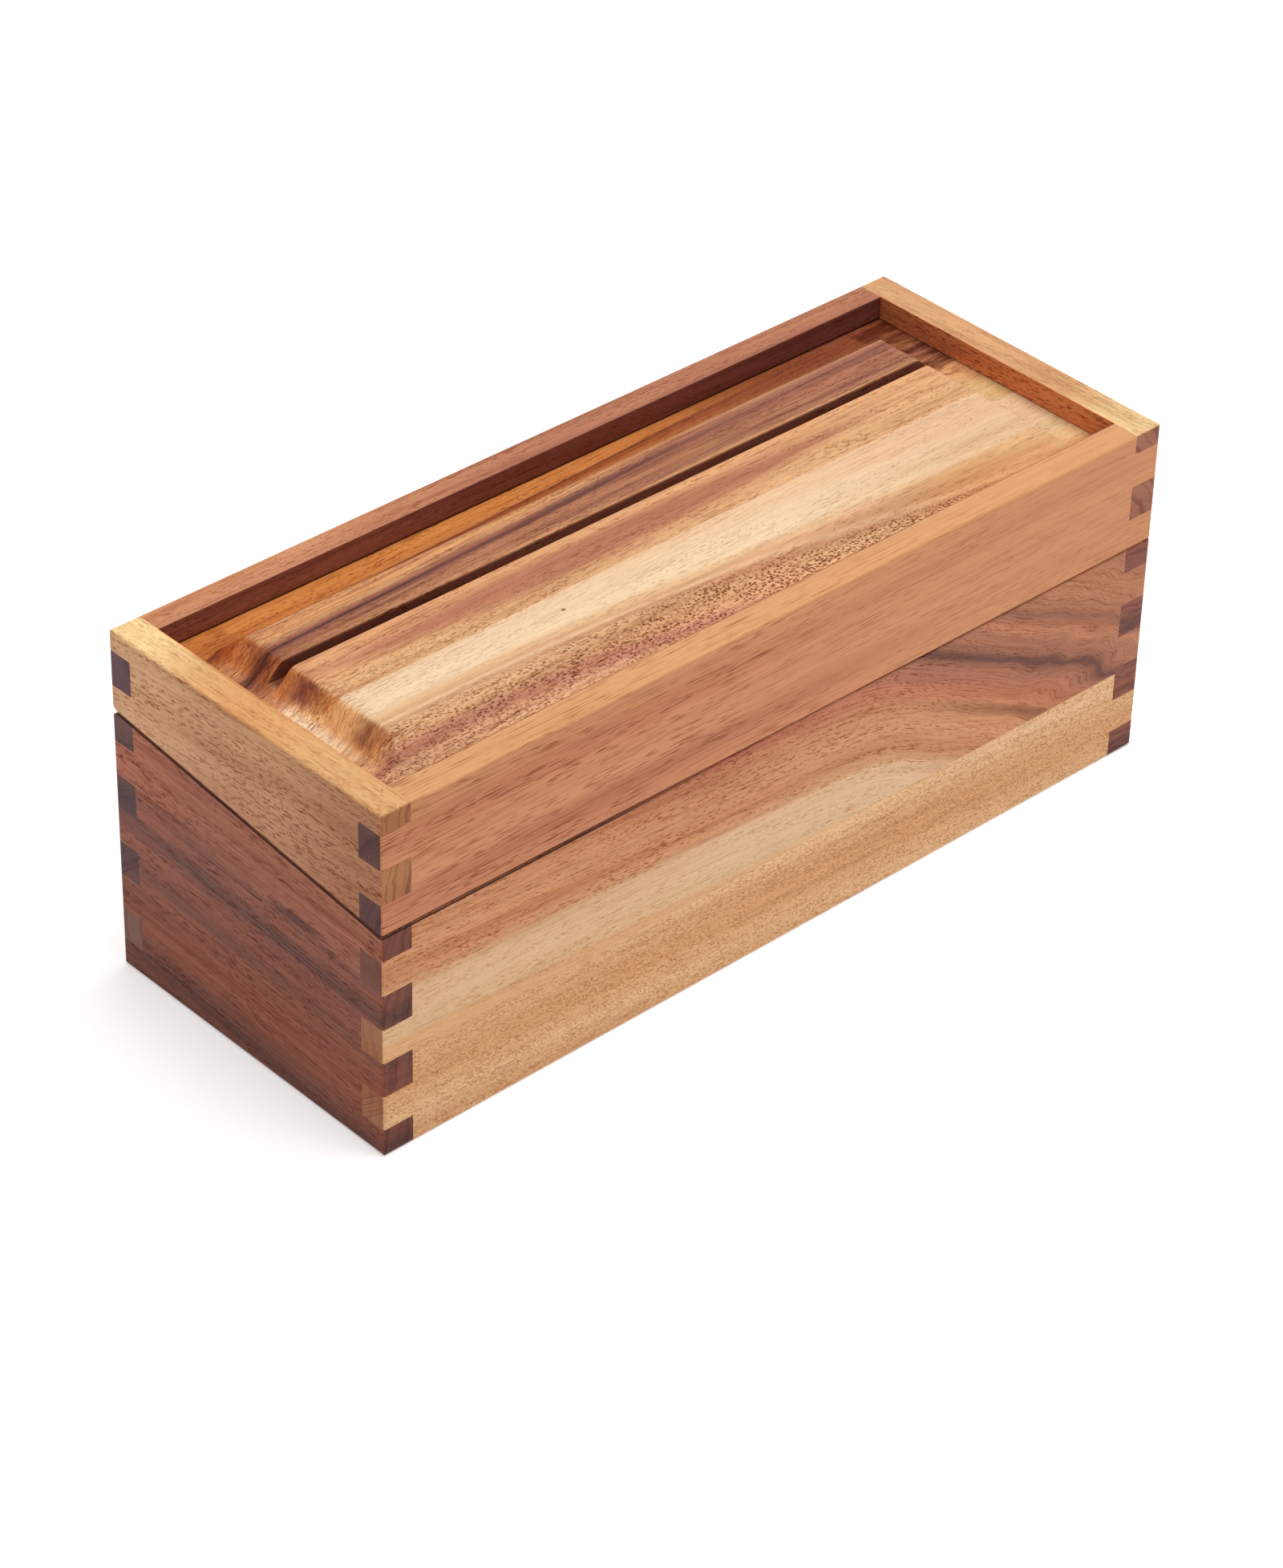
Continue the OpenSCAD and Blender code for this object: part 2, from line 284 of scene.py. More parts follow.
class Wood(Graph):
    """The grain of one board: u runs along it, v across its face and w into it."""

    def __init__(self, name, axes, seed, wave=2.5):
        super().__init__(name)
        self.seed = seed
        self.xyz = dict(zip("xyz", self.place()))
        self.u, self.v, self.w = [self.xyz[axis] for axis in axes]
        self.straight = self.join([self.u, self.v, self.w])
        sway = self.noise(self.straight, (150, 34, 34), seed, 1.0)
        curl = self.noise(self.straight, (34, 7, 7), seed + 1, 2.0)
        self.wander = sway * wave + curl * (wave * 0.22)
        facing = dict(zip("xyz", self.facing()))
        self.end = facing[axes[0]].rise(0.72, 0.93)
        self.face = 1.0 - self.end
        self.cut_across = facing[axes[0]].rise(0.2, 0.6)
        self.level = facing["z"]

    def flow(self, rings, rows):
        """Places along the fibres, shifted from row to row so that marks don't line up."""
        return self.join([self.u + rows * STAGGER, rings, self.w])

    def edge(self):
        """1 along the outer edges at the top, the foot and the corners."""
        x, y, z = [self.xyz[axis] for axis in "xyz"]
        across, along = HALF_W - abs(y), HALF_L - abs(x)
        upright = (HEIGHT - z).low(z)
        second = across.low(along).high(across.high(along).low(upright))
        return second.fall(0.2, 1.2)

    def painted_cut_shadow(self):
        """Painted shadow of the gap at the slanted cut: 1 on the eased edges along it, fainter towards the
        right.
        """
        from_cut = abs(self.xyz["z"] - self.xyz["y"] * CUT_RISE - CUT_MID)
        fainter = self.xyz["x"].fall(-90, -10) * 0.8 + 0.2
        return from_cut.fall(0.6, 1.05) * self.level.fall(0.75, 0.97) * fainter

    def inside_rim(self):
        """1 on the faces that look into the lid's sunk top."""
        inward = (abs(self.xyz["x"]) - INNER_L).high(abs(self.xyz["y"]) - INNER_W)
        return inward.fall(0.1, 0.5) * self.xyz["z"].rise(RIM_Z - 2.0, RIM_Z)

    def knot(self, colour, u, v, size):
        """A pin knot: a small dark eye in the grain."""
        away = ((self.u - u) * 0.7).square() + (self.v - v).square()
        return self.stain(colour, away.fall(0.0, size * size), KNOT_DARK)

    def pores(self, across, share, length, width):
        """Fine dark dashes of mixed lengths, crowded along some of the growth rings."""
        crowd = self.noise(self.join([self.u + across * 4.0, across, 0.0]), (50, 5, 1), self.seed + 11)
        marks = None
        for step, (stretch, slant) in enumerate(PORE_LAYERS):
            place = self.join([self.u + across * slant, across, 0.0])
            layer = self.dashes(place, (length * stretch, width, 1.0), self.seed + 20 + step, 0.30, share)
            marks = layer if marks is None else marks.high(layer)
        return marks * (crowd.rise(-0.5, 0.5) * 0.75 + 0.25)

    def rings_in_end(self, pith):
        """Growth rings on the end grain, around a pith that lies at (v, w)."""
        loose = self.noise(self.straight, (40, 7, 7), self.seed + 8)
        radius = ((self.v - pith[0]).square() + (self.w - pith[1]).square()).root() + loose * 1.5
        return self.noise(self.join([radius, 0.0, 0.0]), (2.6, 1, 1), self.seed + 9, 3.0, 0.6)

    def flecks(self, across):
        """Small scale-like marks, in patches."""
        flat = self.join([self.u + across * 0.7, across, 0.0])
        round_marks = self.dashes(flat, (1.4, 1.15, 1.0), self.seed + 7, 0.40, 0.9)
        long_marks = self.dashes(flat, (2.2, 0.95, 1.0), self.seed + 13, 0.38, 0.8)
        patchy = self.noise(flat, (8, 2.4, 1), self.seed + 14).rise(-0.5, 0.3) * 0.7 + 0.3
        return round_marks.high(long_marks) * patchy

    def end_pores(self):
        """Open pores, seen as dots on the end grain."""
        place = self.join([self.v, self.w, 0.0])
        return self.dashes(place, (0.9, 0.9, 1.0), self.seed + 10, 0.3, 0.6) * self.end * 0.6

    def end_grain(self, colour, tint, pith, ringed):
        """The darker end grain and its growth rings."""
        colour = self.stain(colour, self.end, tint)
        arcs = self.rings_in_end(pith).rise(-0.05, 0.4)
        return self.stain(colour, arcs * self.end * ringed, RING_DARK)

    def oiled(self, colour, rough, height):
        """The finished wood, oiled and with its grain as a shallow relief."""
        oily = self.stain(colour, 1.0, OIL_TINT)
        relief = {"Strength": GRAIN_STRENGTH, "Distance": GRAIN_DEPTH, "Height": height}
        bump = self.node("ShaderNodeBump", relief)
        shader = self.node("ShaderNodeBsdfPrincipled", {"Base Color": oily, "Roughness": rough})
        self.feed(shader.inputs["Specular IOR Level"], SHEEN)
        self.feed(shader.inputs["Normal"], bump.outputs[0])
        return self.surface(shader)

    def finish(self, colour, rings, end_tint, pores=0.3, pore_l=6.0, pore_w=1.0, pore_depth=1.0, streak=0.5,
               thread=0.5, thread_l=14.0, fleck=0.0, pith=(20, 40), ringed=1.0, inner_shade_tint=None, lean=0.8,
               pore_tint=PORE_DARK, fleck_tint=FLECK_DARK):
        """A board's own colours, with fibres, flecks, pores and end grain over them, then painted shade
        inside the lid's rim, edges lightened by wear and a painted highlight, and a painted shadow along
        the cut.

        pores is the share of cells that hold one, and pore_l, pore_w and thread_l are lengths in mm.
        pore_depth, streak, thread, fleck and ringed are strengths. Marks shift with depth by lean.
        """
        flow = self.flow(rings, rings + self.w)
        across = rings + self.w * lean
        fibre = self.noise(flow, (120, 3.4, 3.4), self.seed + 2, 7.0, 0.68)
        hair = self.noise(flow, (26, 0.42, 0.42), self.seed + 3, 1.5)
        threads = self.noise(flow, (thread_l, 0.5, 0.5), self.seed + 12, 2.0, 0.6)
        cloud = self.noise(flow, (60, 14, 14), self.seed + 4, 2.0)
        scales = self.flecks(across) * fleck
        pits = self.pores(across, pores, pore_l, pore_w) * self.face * pore_depth + self.end_pores()
        worn_lit_edge = self.edge()
        colour = self.stain(colour, fibre.rise(-0.05, 0.5) * self.face * streak, FIBRE_DARK)
        colour = self.stain(colour, fibre.fall(-0.5, 0.05) * self.face * streak, FIBRE_PALE)
        colour = self.stain(colour, hair.rise(0.05, 0.8) * self.face * streak, FIBRE_DARK)
        colour = self.stain(colour, threads.rise(0.15, 0.6) * self.face * thread, THREAD_DARK)
        colour = self.stain(colour, cloud.rise(-0.4, 0.7) * 0.25, CLOUD_DARK)
        colour = self.stain(colour, scales, fleck_tint)
        colour = self.stain(colour, pits, pore_tint)
        colour = self.end_grain(colour, end_tint, pith, ringed)
        # painted shade on the faces inside the lid's rim
        if inner_shade_tint is not None:
            colour = self.stain(colour, self.inside_rim(), inner_shade_tint)
        # edges lightened partly by wear and partly as a painted highlight
        colour = self.stain(colour, worn_lit_edge * 0.3, WORN_AND_HIGHLIT_PALE)
        # painted shadow of the gap between lid and base, along the cut
        colour = self.stain(colour, self.painted_cut_shadow(), CUT_GAP_SHADOW)
        rough = ROUGHNESS + hair * 0.05 + pits * 0.15 - worn_lit_edge * 0.05
        height = hair * 0.3 + fibre * 0.2 - pits * 0.15 - scales * 0.1
        return self.oiled(colour, rough, height)


# The boards: colours across the growth rings, then stains and paint at places in millimetres


def panel_wood():
    """Raised lid panel: two boards edge to edge, pale sapwood in front of the joint."""
    g = Wood("acacia_panel", "xyz", 11, 1.6)
    x, y = g.u, g.v
    back = y - (x + 134) * 0.045 + x.bend(60, 40) * 0.04 + g.wander
    front = y + x.bend(-60, 40) * 0.085 + g.wander
    behind = (y - PANEL_SEAM_Y).rise(-0.15, 0.15)
    colour = g.mix(behind, panel_front_board(g, front), panel_back_board(g, back))
    colour = g.knot(colour, -53, -17, 0.8)
    colour = end_slopes(g, colour)
    # painted shade in the card slot
    colour = g.stain(colour, painted_slot_shade(g), SLOT_SHADE)
    flecked = abs(front + 38.5).fall(5.5, 11.5)
    speckled = y.near(-5, 7) * x.fall(-90, -30) * 0.7
    fleck = (flecked * (x.rise(-60, 30) * 0.9 + 1.1)).high(speckled)
    heart = y.rise(-10, -8).high(flecked)
    return g.finish(colour, back, (0.52, 0.40, 0.40), pore_depth=heart * 0.5 + 0.6,
                    streak=heart * 0.35 + 0.25, thread=heart * 0.4 + 0.5, fleck=fleck, lean=0.35)


def panel_back_board(g, rings):
    """Panel board behind the joint: golden, a mauve lens before the slot, dark streaks behind it."""
    x, y = g.u, g.v
    colour = g.ramp(rings, [
        (-20, "#dcae82"), (-4, "#d8a87c"), (6, "#dba67a"), (12, "#d8a076"), (15, "#b98260"),
        (20, "#ab7355"), (21.4, "#8e5848"), (22.5, "#5e352e"), (23.8, "#8c5846"), (26, "#c68e68"),
        (28, "#dca472"), (34, "#dba070"), (37, "#b87142"), (40, "#9a5630"), (41, "#7c4426"),
        (42, "#c88046"), (50, "#d58c4c"), (60, "#d58c4c"),
    ])
    sag = ((x + 10) / 50.0).square() * 0.4 + 3.0
    lens = (abs(y - sag + g.wander) + ((x + 20) / 50.0).square() * 1.1).fall(3.0, 9.5)
    colour = g.paint(colour, lens * 0.9, "#ac6f54")
    colour = g.stain(colour, x.fall(-100, -40) * y.fall(4, 9), (1.08, 1.11, 1.13))
    colour = g.paint(colour, y.near(20.5, 4.5) * x.rise(-60, 20) * 0.75, "#8f5846")
    colour = g.paint(colour, y.rise(22, 27) * y.fall(33, 36) * x.rise(-20, 110) * 0.6, "#a86c58")
    colour = g.paint(colour, y.rise(35, 39) * x.rise(20, 120) * 0.9, "#8a4a33")
    streaks = g.noise(g.flow(rings, rings), (80, 1.3, 4), 17, 3.0, 0.6)
    colour = g.stain(colour, streaks.rise(-0.1, 0.5) * y.rise(17, 19) * y.fall(33, 36), (0.60, 0.48, 0.47))
    return colour


def panel_front_board(g, rings):
    """Panel board in front of the joint: pale sapwood, with a darker, flecked band near its front."""
    x, y = g.u, g.v
    colour = g.ramp(rings, [
        (-60, "#e0b48c"), (-46, "#e0b48c"), (-42, "#dba984"), (-39, "#c88e76"), (-36, "#dfae84"),
        (-32, "#e2b88c"), (-29.5, "#cfa07a"), (-28, "#e4bf98"), (-26.5, "#d6aa82"), (-24, "#e2bc94"),
        (-20, "#eed2b0"), (-12, "#ebcfae"), (-4, "#e9c6a3"),
    ])
    colour = g.stain(colour, x.rise(20, 120), (0.93, 0.88, 0.85))
    colour = g.stain(colour, x.rise(50, 110) * y.fall(-37, -33), (1.02, 0.90, 0.76))
    colour = g.stain(colour, x.near(10, 70) * y.near(-38, 9), (1.10, 1.05, 1.03))
    colour = g.stain(colour, x.rise(60, 110) * y.near(-31, 6), (0.88, 0.83, 0.74))
    return colour


def painted_slot_shade(g):
    """Painted shade in the card slot: 1 on its walls and floor, fading towards its two ends."""
    x, y, z = g.u, g.v, g.w
    within = abs(y - SLOT_MID).fall(SLOT_HALF, SLOT_HALF + 0.3) * z.fall(FIELD_Z - 0.9, FIELD_Z - 0.3)
    return within * z.rise(SLOT_FLOOR - 0.3, SLOT_FLOOR - 0.05) * abs(x).fall(137, 143)


def end_slopes(g, colour):
    """The panel's end slopes cut across the fibres, so they soak up oil and show dark swirls; the left
    slope's foot is lightened as a painted highlight.
    """
    x, y, z = g.u, g.v, g.w
    tilted = y + (FIELD_Z - z) * 0.7 + g.wander
    swirl = g.noise(g.join([x, tilted, z]), (22, 4.2, 7), 15, 3.0, 0.6)
    cut_fibres = g.noise(g.join([x, tilted, z]), (5, 0.7, 3), 16, 2.0)
    above = z.rise(RIM_Z - 1.5, RIM_Z)
    left = x.fall(-132, -130) * above
    slope = left * g.cut_across
    right = x.rise(136, 139) * above
    behind = (y - PANEL_SEAM_Y).rise(-0.2, 0.2)
    colour = g.stain(colour, slope * y.rise(-37, -30), (1.02, 0.76, 0.50))
    upper = z.rise(118.3, 121.5)
    smudge = y.near(3, 11).high(y.near(28, 10) * 0.38).high(y.near(-25, 9) * 0.75)
    colour = g.stain(colour, slope * upper * smudge * swirl.rise(-1.0, 0.2), (0.34, 0.25, 0.40))
    colour = g.stain(colour, left * behind * (1.0 - upper) * 0.25, (0.62, 0.44, 0.36))
    colour = g.stain(colour, left * cut_fibres.rise(-0.1, 0.5) * 0.6, (0.55, 0.38, 0.30))
    colour = g.stain(colour, right * y.rise(4, 12) * swirl.rise(-0.2, 0.3), (0.48, 0.36, 0.30))
    # painted highlight on the concave foot of the left slope
    colour = g.stain(colour, left * z.fall(119.5, 123) * behind * y.fall(3, 9), (1.38, 2.0, 2.7))
    colour = g.stain(colour, right * y.near(0, 18), (1.02, 1.16, 1.12))
    return g.stain(colour, right * y.fall(0, 8), (0.98, 1.06, 1.06))


def base_front_wood():
    """Front board of the base: a straight lower piece, and an upper one that swirls at the right end."""
    g = Wood("acacia_base_front", "xzy", 23, 1.4)
    x, z = g.u, g.v
    sweep = (x + 152) * 0.045 + x.bend(42, 12) * 0.46
    above = (z - FRONT_SEAM_Z).rise(-0.15, 0.15)
    from_knot = ((x - 166).square() + ((z - 50) * 1.3).square()).root()
    curl = g.noise(g.straight, (30, 15, 15), 27, 2.0) * from_knot.fall(8, 95) * 8.0
    upper = z + sweep + g.wander + curl
    top = g.ramp(upper, [
        (34, "#e9b586"), (40, "#ebba8c"), (44, "#ebc69d"), (52, "#eec8a2"), (59, "#ebc39c"),
        (62, "#dda47a"), (67, "#d2936c"), (74, "#dea277"), (82, "#d4966d"), (88, "#c98262"),
        (94, "#be7c62"), (98.5, "#ae745c"), (102, "#764a40"), (105.5, "#a66e57"), (110, "#ba7d62"),
        (116, "#c88768"), (121, "#a06a55"), (124, "#bd7f62"), (136, "#ca8a68"), (152, "#b77a5f"),
    ])
    top = g.stain(top, x.rise(-80, 10) * x.fall(50, 110), (1.02, 1.06, 1.10))
    top = g.stain(top, upper.near(82, 4) * x.rise(45, 110), (0.55, 0.45, 0.45))
    tilt = (x + 150) * 0.04
    lower = z + tilt + g.wander
    bottom = g.ramp(lower, [
        (-2, "#e4b487"), (5, "#e8ba8c"), (12, "#f0c89a"), (17, "#eabc8d"), (22, "#e4af7f"),
        (27, "#e5b181"), (31, "#e8b989"), (36, "#efc394"), (39, "#f6cfa2"), (46, "#f4cb9c"),
    ])
    colour = g.mix(above, bottom, top)
    colour = g.stain(colour, g.end * z.rise(58, 63), (0.56, 0.60, 0.84))
    speckled = (1.0 - above * 0.7) * z.fall(30, 48) * 0.75
    heart = above * upper.rise(57, 66)
    pore_depth = heart * x.fall(40, 120) * 0.75 + 0.75
    rings = lower + (sweep + curl - tilt) * above
    return g.finish(colour, rings, (0.53, 0.36, 0.31), streak=heart * 0.3 + 0.3,
                    thread=heart * 0.5 + 0.5, fleck=speckled, pore_l=4.5, pore_depth=pore_depth, ringed=0.4,
                    pore_tint=PORE_WARM, fleck_tint=FLECK_WARM)


def base_end_wood():
    """End boards of the base: red-brown with dark smoky bands and a few pin knots."""
    g = Wood("acacia_base_ends", "yzx", 29, 1.4)
    y, z = g.u, g.v
    left, right = g.w.fall(-1, 1), g.w.rise(-1, 1)
    rings = z - y * 0.055 + g.wander
    colour = g.ramp(rings, [
        (-6, "#945a4a"), (7, "#7d4b40"), (10, "#945a4a"), (16, "#a1614b"), (22, "#a4634c"),
        (29, "#a3604c"), (31, "#985c4b"), (33, "#a6654e"), (40, "#99604f"), (42, "#9c5f4d"),
        (48, "#9d614e"), (52, "#9c6153"), (55, "#85574d"), (58, "#8b594c"), (61, "#a16554"),
        (66, "#9b6356"), (69, "#ad6f5c"), (76, "#b4725a"), (84, "#b6745a"), (104, "#b4725c"),
    ])
    colour = g.stain(colour, 1.0, (0.92, 0.88, 0.86))
    for along, height in ((60, 82), (51.5, 70), (60, 30), (-59, 79), (36, 2.5)):
        colour = g.knot(colour, along, height, 0.9)
    eye = ((y + 24) * 0.16).square() + (z - 67 + g.wander * 0.5).square()
    colour = g.stain(colour, eye.fall(0.0, 6.0) * left, (0.36, 0.30, 0.34))
    smoke = g.noise(g.flow(rings, rings), (90, 1.1, 3), 31, 3.0).rise(-0.3, 0.5)
    smoked = rings.near(55, 7).high(rings.near(37, 9) * 0.7).high(rings.near(9, 8) * 0.8)
    colour = g.stain(colour, 1.0 - smoked, (1.05, 1.04, 1.03))
    colour = g.stain(colour, smoke * smoked * 0.8, (0.50, 0.44, 0.48))
    colour = g.stain(colour, y.rise(20, 55) * rings.rise(48, 53), (1.2, 1.14, 1.10))
    colour = g.stain(colour, g.end * z.rise(68, 71), (0.66, 0.62, 0.68))
    colour = g.stain(colour, g.end * right, (1.42, 1.48, 1.46))
    return g.finish(colour, rings, (0.66, 0.64, 0.69), pores=0.36, pore_l=8.0, pore_depth=1.6,
                    streak=1.0, thread=1.0, thread_l=20.0, pith=(-30, 150))


def base_back_wood():
    """Back board of the base: tan below, dark brown above."""
    g = Wood("acacia_base_back", "xzy", 37, 2.4)
    rings = g.v + g.u * 0.03 + g.wander
    colour = g.ramp(rings, [
        (-8, "#d8a478"), (10, "#d2996c"), (24, "#c88b66"), (32, "#a56c56"), (40, "#8f5c4c"),
        (52, "#a66b54"), (60, "#7d5048"), (68, "#9c6653"), (80, "#8a594c"), (92, "#a87059"),
        (106, "#96604f"),
    ])
    return g.finish(colour, rings, (0.42, 0.39, 0.57))


def bottom_wood():
    """Bottom panel, plain straight grain."""
    g = Wood("acacia_bottom", "xyz", 41, 3.0)
    rings = g.v + g.u * 0.02 + g.wander
    colour = g.ramp(rings, [
        (-60, "#d2a077"), (-40, "#c88f68"), (-20, "#d9aa80"), (0, "#c4895f"), (20, "#b57a58"),
        (40, "#cf9b70"), (60, "#c08660"),
    ])
    return g.finish(colour, rings, (0.5, 0.42, 0.42))


def lid_front_wood():
    """Front board of the lid: orange-brown, straight and finely streaked."""
    g = Wood("acacia_lid_front", "xzy", 53, 1.2)
    x, z = g.u, g.v
    rings = z - x * 0.012 + g.wander
    colour = g.ramp(rings, [
        (80, "#d8956e"), (90, "#d08c6a"), (94, "#cb8766"), (100, "#da9a74"), (108, "#d99770"),
        (117, "#cc8764"), (123, "#d6976c"), (130, "#da9e6e"),
    ])
    colour = g.paint(colour, x.rise(-90, 70) * (0.6 - g.level * 0.4), "#e2a274")
    smoke = z.near(93, 6) * abs(x + 40).fall(50, 110)
    colour = g.stain(colour, smoke * 0.5, (0.74, 0.66, 0.66))
    colour = g.stain(colour, g.level, (0.97, 1.06, 1.09))
    upright = 1.0 - g.level * 0.45
    # the inner tint is painted shade on the face inside the lid's rim
    return g.finish(colour, rings, (0.197, 0.16, 0.265), pore_l=18.0, pore_w=0.7,
                    pore_depth=(x.fall(-120, 120) * 1.1 + 0.5) * upright, streak=0.2,
                    thread=x.fall(-120, 160) * 0.6 + 0.45, thread_l=40.0, pith=(60, -120),
                    inner_shade_tint=(0.5, 0.4, 0.36))


def lid_end_wood():
    """End boards of the lid: golden tan with many short dark pores."""
    g = Wood("acacia_lid_ends", "yzx", 61, 2.4)
    y, z = g.u, g.v
    top = g.level
    side = 1.0 - top
    left = g.w.fall(-1, 1)
    right = 1.0 - left
    rings = z + y * 0.03 + g.wander * 1.4
    colour = g.ramp(rings, [
        (80, "#d49b75"), (94, "#d49a74"), (102, "#e0a983"), (110, "#d99e76"), (118, "#e0aa82"),
        (124, "#dda87d"), (132, "#e0ab80"),
    ])
    colour = g.stain(colour, top, (1.0, 1.08, 0.96))
    colour = g.stain(colour, top * left * y.near(0, 34), (0.98, 0.88, 0.76))
    colour = g.stain(colour, top * left * y.rise(24, 52), (1.24, 1.56, 1.70))
    colour = g.stain(colour, right * y.rise(-55, -15), (0.90, 0.86, 0.94))
    colour = g.stain(colour, side * left * y.fall(-55, -5), (0.77, 0.66, 0.60))
    colour = g.stain(colour, top * right * y.fall(-52, -25), (1.08, 1.34, 1.52))
    colour = g.stain(colour, side * left * y.rise(0, 50), (1.16, 1.24, 1.28))
    colour = g.stain(colour, g.end * right, (0.73, 0.64, 0.84))
    colour = g.stain(colour, g.end * left * z.fall(106, 112), (1.19, 1.31, 1.25))
    # the inner tint paints the deep orange shade and glow of the faces inside the lid's rim
    return g.finish(colour, rings, (0.755, 0.65, 0.565), pores=0.4, pore_l=6.0,
                    pore_depth=1.5 - top * 0.85, streak=0.55, thread=0.6, pith=(60, 100),
                    inner_shade_tint=(1.02, 0.71, 0.53))


def lid_back_wood():
    """Back board of the lid: pinkish brown, paler and streaked towards the left."""
    g = Wood("acacia_lid_back", "xzy", 71, 1.6)
    rings = g.v + g.w * 0.4 + g.wander
    colour = g.ramp(rings, [
        (110, "#a96c55"), (120, "#b0715a"), (128, "#a86a54"), (138, "#b57a5e"), (144, "#b87e66"),
        (148, "#b57a60"), (152, "#c08868"), (156, "#b87d61"),
    ])
    x, z = g.u, g.v
    colour = g.stain(colour, x.fall(-110, 10), (1.20, 1.24, 1.12))
    streaks = g.noise(g.flow(rings, rings), (60, 1.3, 1.3), 73, 2.0).rise(0.15, 0.8)
    streaked = x.fall(-120, 20).high(g.inside_rim())
    colour = g.stain(colour, streaks * streaked, (0.62, 0.56, 0.60))
    colour = g.stain(colour, x.rise(-90, 20), (0.86, 0.79, 0.80))
    # painted shadow in the gap at the foot of the back wall inside the rim
    foot = g.inside_rim() * z.fall(RIM_Z + 0.8, RIM_Z + 1.8)
    colour = g.stain(colour, foot, (0.12, 0.09, 0.08))
    # the inner tint is painted shade on the face inside the lid's rim
    return g.finish(colour, rings, (0.255, 0.255, 0.57), streak=0.7, thread=0.6, pith=(60, 140),
                    inner_shade_tint=(0.42, 0.33, 0.39))


def brass(name, code, gloss):
    """Brushed brass with dull patches."""
    g = Graph(name)
    where = g.join(g.place())
    brushed = g.noise(where, (9, 0.15, 0.15), 83, 3.0)
    patina = g.noise(where, (2.4, 2.4, 2.4), 84, 3.0)
    colour = g.stain(linear(code), patina.rise(-0.2, 1.0) * 0.5, PATINA_DARK)
    relief = {"Strength": BRUSH_STRENGTH, "Distance": BRUSH_DEPTH, "Height": brushed}
    bump = g.node("ShaderNodeBump", relief)
    shader = g.node("ShaderNodeBsdfPrincipled", {"Base Color": colour, "Metallic": 1.0})
    g.feed(shader.inputs["Roughness"], gloss + brushed * 0.06 + patina * 0.05)
    g.feed(shader.inputs["Normal"], bump.outputs[0])
    return g.surface(shader)


def dress():
    """Give every node of the box its own finish."""
    base_ends = base_end_wood()
    lid_ends = lid_end_wood()
    leaf_brass = brass("hinge_brass", "#c9a562", 0.30)
    screw_brass = brass("screw_brass", "#d4b26e", 0.24)
    finishes = {
        "base_front": base_front_wood(),
        "base_back": base_back_wood(),
        "base_left_end": base_ends,
        "base_right_end": base_ends,
        "base_bottom": bottom_wood(),
        "lid_front": lid_front_wood(),
        "lid_back": lid_back_wood(),
        "lid_left_end": lid_ends,
        "lid_right_end": lid_ends,
        "lid_panel": panel_wood(),
        "base_hinge_screws": screw_brass,
        "lid_hinge_screws": screw_brass,
    }
    for side in ("left", "right"):
        finishes[side + "_hinge_base_leaf"] = leaf_brass
        finishes[side + "_hinge_lid_leaf"] = leaf_brass
        finishes[side + "_hinge_pin"] = screw_brass
    for name, material in finishes.items():
        slots = NODES[name].data.materials
        slots.clear()
        slots.append(material)


def make_camera():
    """A camera at the photograph's viewing angle."""
    azimuth, elevation = math.radians(CAMERA_AZIMUTH), math.radians(CAMERA_ELEVATION)
    back = Vector((
        math.sin(azimuth) * math.cos(elevation),
        -math.cos(azimuth) * math.cos(elevation),
        math.sin(elevation),
    ))
    camera = bpy.data.objects.new("camera", bpy.data.cameras.new("camera"))
    bpy.context.scene.collection.objects.link(camera)
    camera.data.sensor_width = CAMERA_SENSOR
    camera.data.lens = CAMERA_LENS
    camera.data.clip_start = CAMERA_NEAR
    camera.rotation_mode = "QUATERNION"
    camera.location = CAMERA_TARGET + back * CAMERA_DISTANCE
    roll = Quaternion((0, 0, 1), math.radians(CAMERA_ROLL))
    camera.rotation_quaternion = (-back).to_track_quat("-Z", "Y") @ roll
    bpy.context.scene.camera = camera


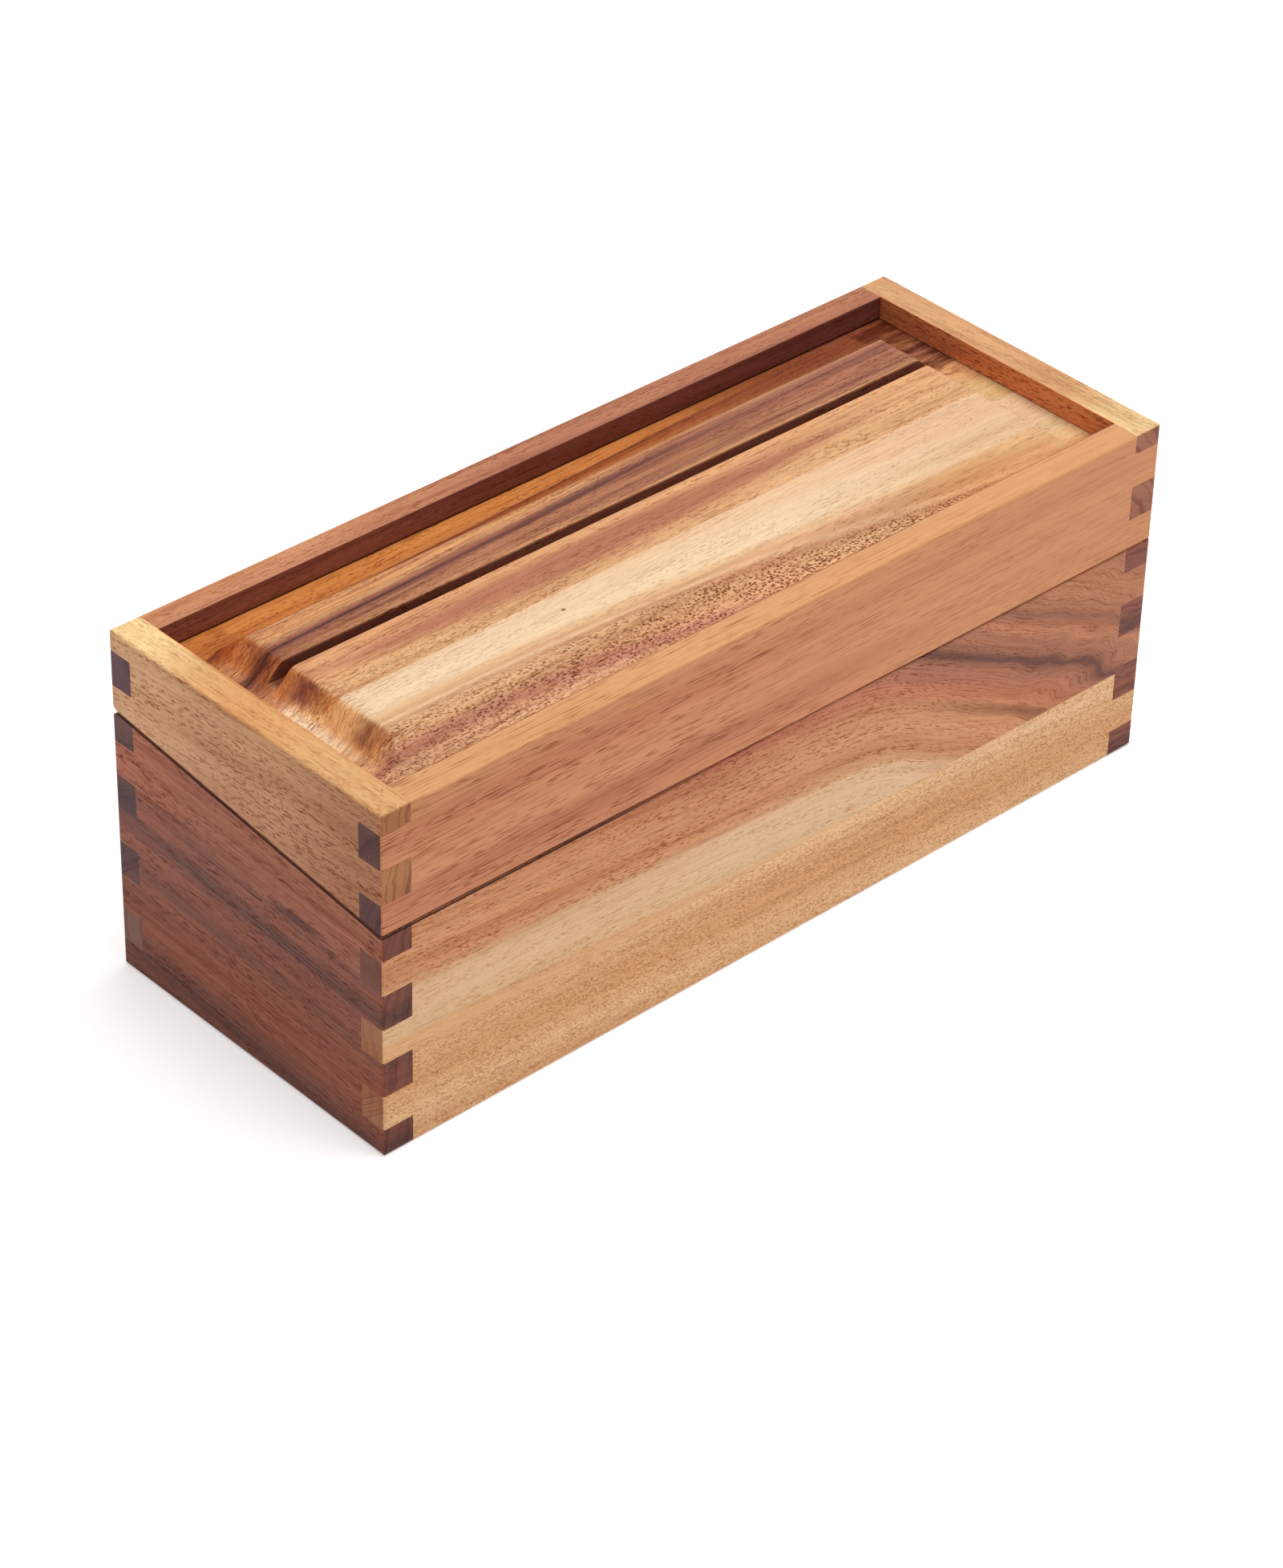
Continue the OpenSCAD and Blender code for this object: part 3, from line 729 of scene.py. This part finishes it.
def make_lamp():
    """One large round lamp overhead."""
    lamp = bpy.data.lights.new("key", "AREA")
    lamp.shape = "DISK"
    lamp.size = LAMP_SIZE
    lamp.energy = LAMP_WATTS
    holder = bpy.data.objects.new("key", lamp)
    holder.location = LAMP_PLACE
    holder.rotation_euler = (LAMP_AIM - LAMP_PLACE).to_track_quat("-Z", "Y").to_euler()
    bpy.context.scene.collection.objects.link(holder)


def make_sky():
    """Even light from all round, which the camera and reflections see as white."""
    world = bpy.data.worlds.new("studio")
    world.use_nodes = True
    bpy.context.scene.world = world
    tree = world.node_tree
    background = tree.nodes["Background"]
    path = tree.nodes.new("ShaderNodeLightPath")
    seen = path.outputs["Is Camera Ray"]
    for ray in ("Is Glossy Ray", "Is Transmission Ray"):
        either = tree.nodes.new("ShaderNodeMath")
        either.operation = "MAXIMUM"
        tree.links.new(seen, either.inputs[0])
        tree.links.new(path.outputs[ray], either.inputs[1])
        seen = either.outputs[0]
    level = tree.nodes.new("ShaderNodeMapRange")
    level.inputs["To Min"].default_value = SKY
    level.inputs["To Max"].default_value = 1.0
    tree.links.new(seen, level.inputs["Value"])
    tree.links.new(level.outputs["Result"], background.inputs["Strength"])
    background.inputs["Color"].default_value = (1, 1, 1, 1)


def make_floor():
    """White floor, lifted for the camera so that the box's shadow on it stays pale."""
    bpy.ops.mesh.primitive_plane_add(size=2 * FLOOR_REACH, location=(0, 0, 0))
    floor = bpy.context.object
    floor.name = "floor"
    g = Graph("floor_white")
    path = g.node("ShaderNodeLightPath").outputs
    seen = Field(g, path["Is Camera Ray"]).high(path["Is Glossy Ray"]).high(path["Is Transmission Ray"])
    shade = g.mix(seen, [FLOOR_BOUNCE] * 3 + [1.0], [FLOOR_SEEN] * 3 + [1.0])
    matt = g.node("ShaderNodeBsdfDiffuse", {"Color": shade})
    lift = g.node("ShaderNodeEmission", {"Strength": seen * FLOOR_LIFT})
    both = g.node("ShaderNodeAddShader", {0: matt.outputs[0], 1: lift.outputs[0]})
    floor.data.materials.append(g.surface(both))


dress()
make_floor()
make_lamp()
make_sky()
make_camera()
bpy.context.scene.view_settings.view_transform = "Standard"
